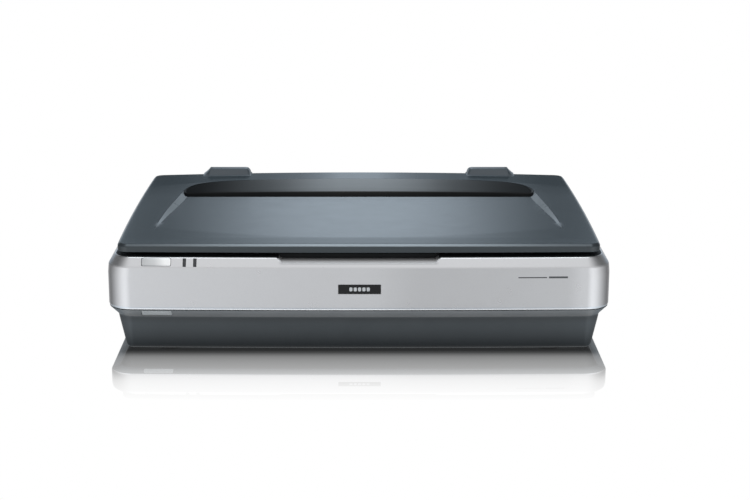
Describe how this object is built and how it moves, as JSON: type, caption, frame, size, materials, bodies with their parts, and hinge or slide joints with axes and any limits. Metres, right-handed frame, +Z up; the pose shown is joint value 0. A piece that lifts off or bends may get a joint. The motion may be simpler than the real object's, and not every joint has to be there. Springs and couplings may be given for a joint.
{
  "type": "flatbed scanner",
  "caption": "Large-format flatbed scanner: silver band on a dark tapered base, hinged dark lid with a dished top, and a belt-driven lamp carriage under a glass bed.",
  "frame": {"origin": "centre of the footprint on the table surface, under the feet", "axes": "+Z up, +Y to the hinge side at the back, -Y to the control front, +X to the right seen from the front"},
  "size_m": [0.656, 0.458, 0.158],
  "materials": {
    "silver_paint": "satin silver paint on moulded plastic",
    "dark_plastic": "fine-grained blue-grey moulded plastic",
    "lid_plastic": "semi-gloss blue-grey moulded plastic",
    "gloss_black": "piano-gloss smoked black",
    "black_plastic": "fine matte",
    "clear_glass": "polished float glass",
    "white_plastic": "matte white",
    "mat_white": "white film-faced foam",
    "steel": "brushed",
    "circuit_board": "solder mask",
    "rubber": "matte",
    "brass": "machined",
    "button_silver": "satin",
    "button_grey": "satin",
    "lamp_white": "frosted lamp tube",
    "mirror": "first-surface mirror"
  },
  "bodies": {
    "root": {"upper_housing": "silver_paint", "badge_plate": "gloss_black", "ready_light": "black_plastic", "error_light": "black_plastic", "panel_board": "circuit_board", "lower_housing": "dark_plastic", "housing_screw_1": "steel", "housing_screw_2": "steel", "housing_screw_3": "steel", "housing_screw_4": "steel", "foot_front_left": "rubber", "foot_front_right": "rubber", "foot_rear_left": "rubber", "foot_rear_right": "rubber", "glass_frame": "dark_plastic", "platen_glass": "clear_glass", "calibration_strip": "white_plastic", "hinge_socket_left": "black_plastic", "hinge_socket_right": "black_plastic", "guide_rod": "steel", "slide_rail": "steel", "drive_motor": "steel", "motor_bracket": "steel", "idler_bracket": "steel", "drive_belt": "rubber", "tension_spring": "steel", "ribbon_cable": "white_plastic", "main_board": "circuit_board", "power_supply_board": "circuit_board", "power_inlet": "black_plastic", "usb_port": "steel", "option_port": "steel", "port_panel": "dark_plastic"},
    "lid": {"lid_shell": "lid_plastic", "lid_inner_panel": "dark_plastic", "lid_strip": "gloss_black", "document_mat": "mat_white", "hinge_cover_left": "dark_plastic", "hinge_cover_right": "dark_plastic"},
    "hinge_slide": {"hinge_post_left": "black_plastic", "hinge_post_right": "black_plastic", "hinge_pin_left": "steel", "hinge_pin_right": "steel"},
    "carriage": {"carriage_housing": "black_plastic", "lamp_tube": "lamp_white", "lamp_reflector": "mirror", "mirror_1": "mirror", "mirror_2": "mirror", "lens_barrel": "black_plastic", "sensor_board": "circuit_board", "carriage_bush_left": "brass", "carriage_bush_right": "brass", "slider_shoe": "white_plastic", "belt_clamp": "black_plastic"},
    "start_button": {"start_button": "button_silver"},
    "power_button": {"power_button": "button_grey"},
    "drive_pulley": {"drive_pulley": "brass", "motor_shaft": "steel"},
    "idler_pulley": {"idler_pulley": "white_plastic"},
    "transport_lock": {"transport_lock": "button_grey"}
  },
  "joints": [
    {"name": "hinge_lift", "type": "slide", "parent": "root", "child": "hinge_slide", "axis": [0, 0, 1], "range_m": [0, 0.03]},
    {"name": "lid_hinge", "type": "hinge", "parent": "hinge_slide", "child": "lid", "pos_m": [0, 0.216, 0.145], "axis": [-1, 0, 0], "range_deg": [0, 85]},
    {"name": "start_press", "type": "slide", "parent": "root", "child": "start_button", "axis": [0.0221, 0.9077, -0.4191], "range_m": [0, 0.0012], "stiffness_N_per_m": 600},
    {"name": "power_press", "type": "slide", "parent": "root", "child": "power_button", "axis": [0.0166, 0.6842, 0.7291], "range_m": [0, 0.0012], "stiffness_N_per_m": 600},
    {"name": "carriage_scan", "type": "slide", "parent": "root", "child": "carriage", "axis": [1, 0, 0], "range_m": [0, 0.48]},
    {"name": "drive_pulley_spin", "type": "hinge", "parent": "root", "child": "drive_pulley", "pos_m": [0.276, 0.02, 0.064], "axis": [0, 0, 1], "range_deg": [0, 2740]},
    {"name": "idler_pulley_spin", "type": "hinge", "parent": "root", "child": "idler_pulley", "pos_m": [-0.28, 0.02, 0.064], "axis": [0, 0, 1], "range_deg": [0, 2740]},
    {"name": "transport_lock_turn", "type": "hinge", "parent": "root", "child": "transport_lock", "pos_m": [-0.262, -0.06, 0.003], "axis": [0, 0, 1], "range_deg": [0, 90]}
  ],
  "couplings": [
    {"joint": "drive_pulley_spin", "follows": "carriage_scan", "rad_per_m": 99.5},
    {"joint": "idler_pulley_spin", "follows": "carriage_scan", "rad_per_m": 99.5}
  ]
}
